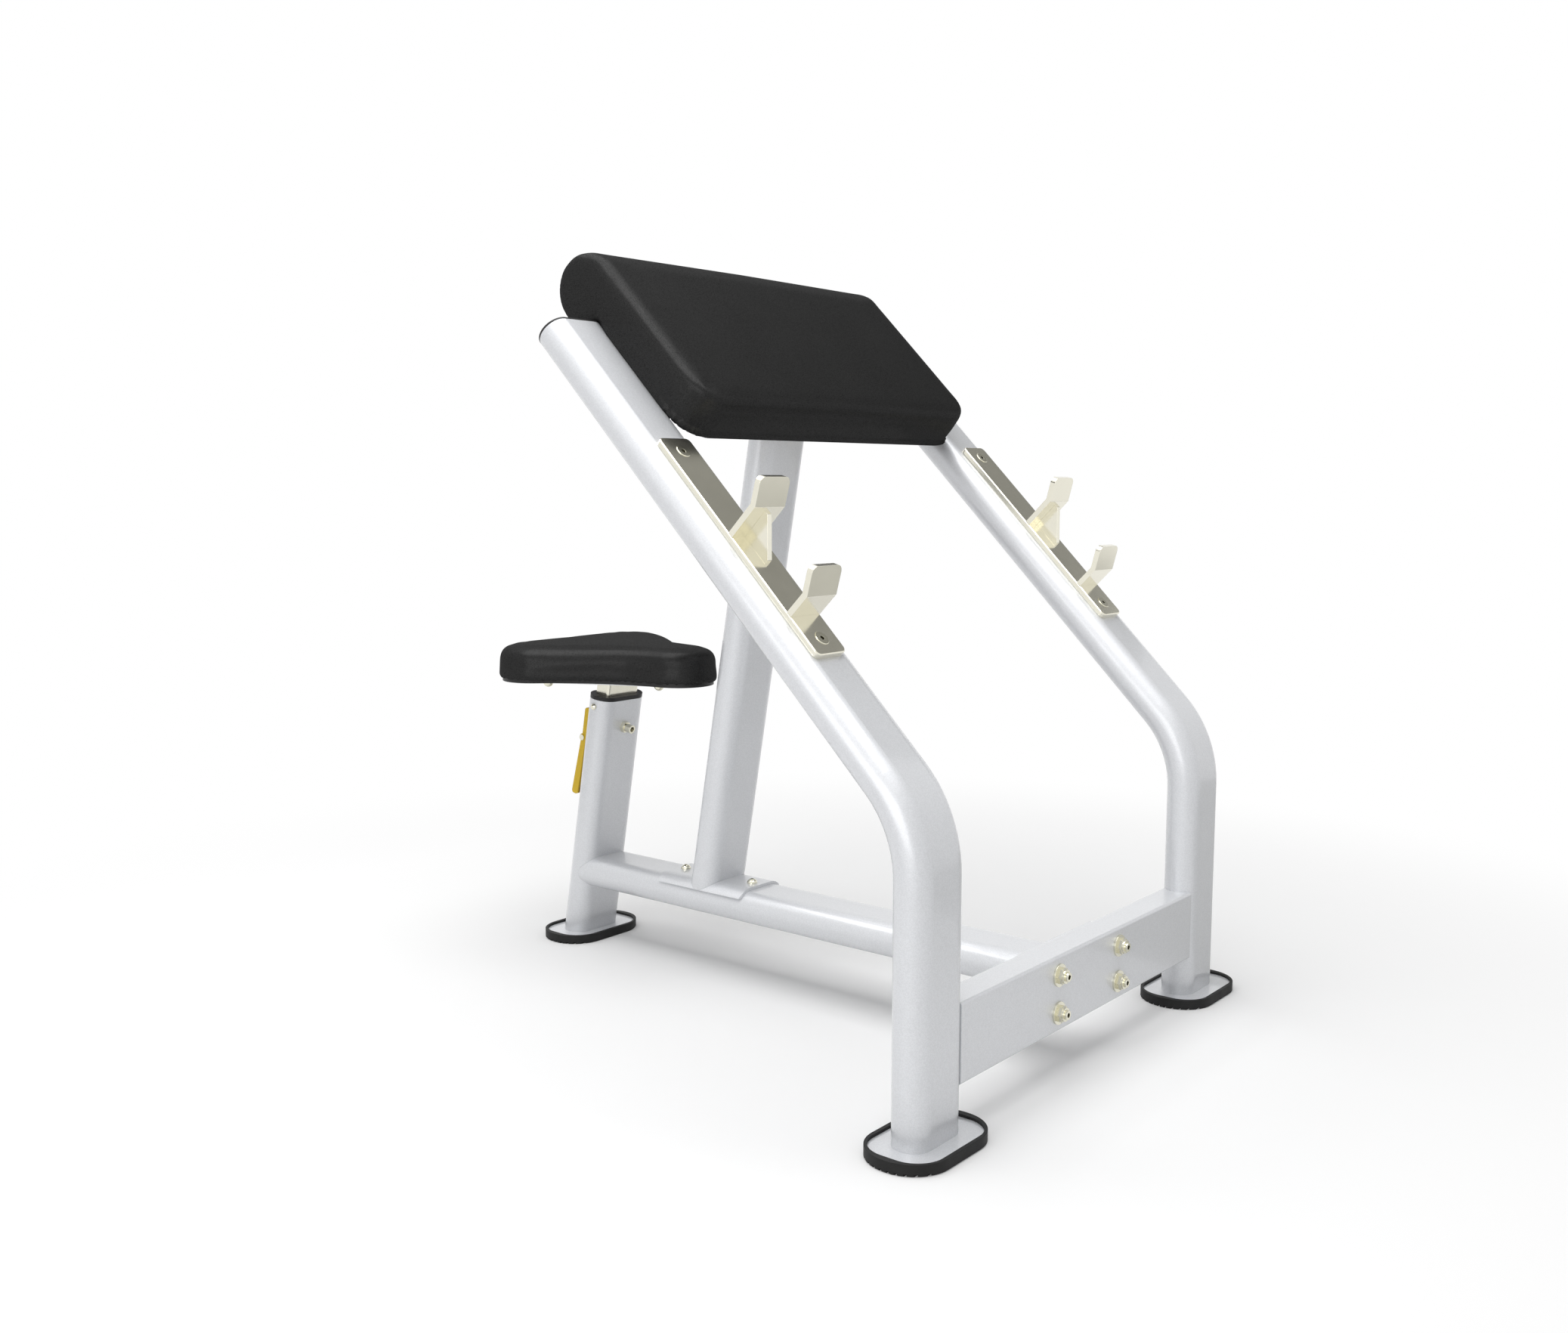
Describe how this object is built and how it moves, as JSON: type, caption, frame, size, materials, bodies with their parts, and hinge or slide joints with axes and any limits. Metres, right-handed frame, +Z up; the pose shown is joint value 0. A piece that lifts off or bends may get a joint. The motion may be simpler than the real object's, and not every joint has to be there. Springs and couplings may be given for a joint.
{
  "type": "preacher curl bench",
  "caption": "Free-standing preacher curl bench: sloped arm pad on a flat-oval tube frame, stepped bar hooks on both legs, and a shaped seat whose height is set by a lever-drawn pin.",
  "frame": {"origin": "on the floor, in the middle of the bench's length and width", "axes": "+Z up, +Y from the bar hooks towards the seat, +X to the right leg of someone facing the hooks' side from the front"},
  "size_m": [0.87, 1.052, 1.0774],
  "materials": {
    "frame_paint": "gloss silver metallic powder coat",
    "hardware": "bright nickel plating, slightly warm",
    "rack_nickel": "polished warm nickel",
    "plain_steel": "plain zinc plated steel",
    "seat_tube_plate": "nickel plated steel tube, slightly warm",
    "black_plastic": "moulded black plastic",
    "rubber": "moulded black rubber",
    "vinyl": "fine grain black upholstery vinyl over foam",
    "plywood": "birch plywood backing board",
    "black_board": "black seat base",
    "lever_yellow": "mustard yellow enamel"
  },
  "bodies": {
    "frame": {"left_leg": "frame_paint", "right_leg": "frame_paint", "left_leg_cap": "black_plastic", "right_leg_cap": "black_plastic", "left_foot_rubber": "rubber", "right_foot_rubber": "rubber", "rear_foot_rubber": "rubber", "left_foot_plate": "frame_paint", "right_foot_plate": "frame_paint", "rear_foot_plate": "frame_paint", "cross_tube": "frame_paint", "upper_cross_tube": "frame_paint", "beam_tube": "frame_paint", "beam_end_plate": "frame_paint", "beam_bolts": "hardware", "beam_washers": "hardware", "beam_nuts": "hardware", "saddle_plate": "frame_paint", "saddle_bolts": "hardware", "saddle_nuts": "hardware", "centre_post": "frame_paint", "left_rack_plate": "rack_nickel", "right_rack_plate": "rack_nickel", "rack_screws": "hardware", "left_upper_hook": "rack_nickel", "right_upper_hook": "rack_nickel", "left_lower_hook": "rack_nickel", "right_lower_hook": "rack_nickel", "left_gusset": "rack_nickel", "right_gusset": "rack_nickel", "arm_pad": "vinyl", "arm_pad_board": "plywood", "pad_bolts": "hardware", "pad_washers": "hardware", "seat_sleeve": "frame_paint", "sleeve_bush": "black_plastic", "bush_screw": "hardware", "clamp_nut": "hardware", "clamp_screw": "hardware", "lock_pin_guide": "plain_steel", "lock_spring": "plain_steel", "lever_bracket": "plain_steel", "pivot_pin": "hardware", "pivot_clip": "hardware"},
    "seat": {"seat_tube": "seat_tube_plate", "seat_tube_glide": "black_plastic", "seat_plate": "plain_steel", "seat_board": "black_board", "seat_pad": "vinyl", "seat_bolts": "hardware"},
    "lever": {"lever": "lever_yellow"},
    "lock_pin": {"lock_pin": "plain_steel"}
  },
  "joints": [
    {"name": "seat_slide", "type": "slide", "parent": "frame", "child": "seat", "axis": [0, -0.1736, 0.9848], "range_m": [0, 0.15]},
    {"name": "lever_squeeze", "type": "hinge", "parent": "frame", "child": "lever", "pos_m": [0, 0.45611, 0.34001], "axis": [-1, 0, 0], "range_deg": [-8, 3], "stiffness_Nm_per_rad": 2, "springref_deg": -8},
    {"name": "lock_pin_slide", "type": "slide", "parent": "frame", "child": "lock_pin", "axis": [0, 0.9848, 0.1736], "range_m": [-0.0051, 0.002], "deforming": ["lock_spring"]}
  ],
  "couplings": [
    {"joint": "lock_pin_slide", "follows": "lever_squeeze", "m_per_rad": 0.036}
  ]
}
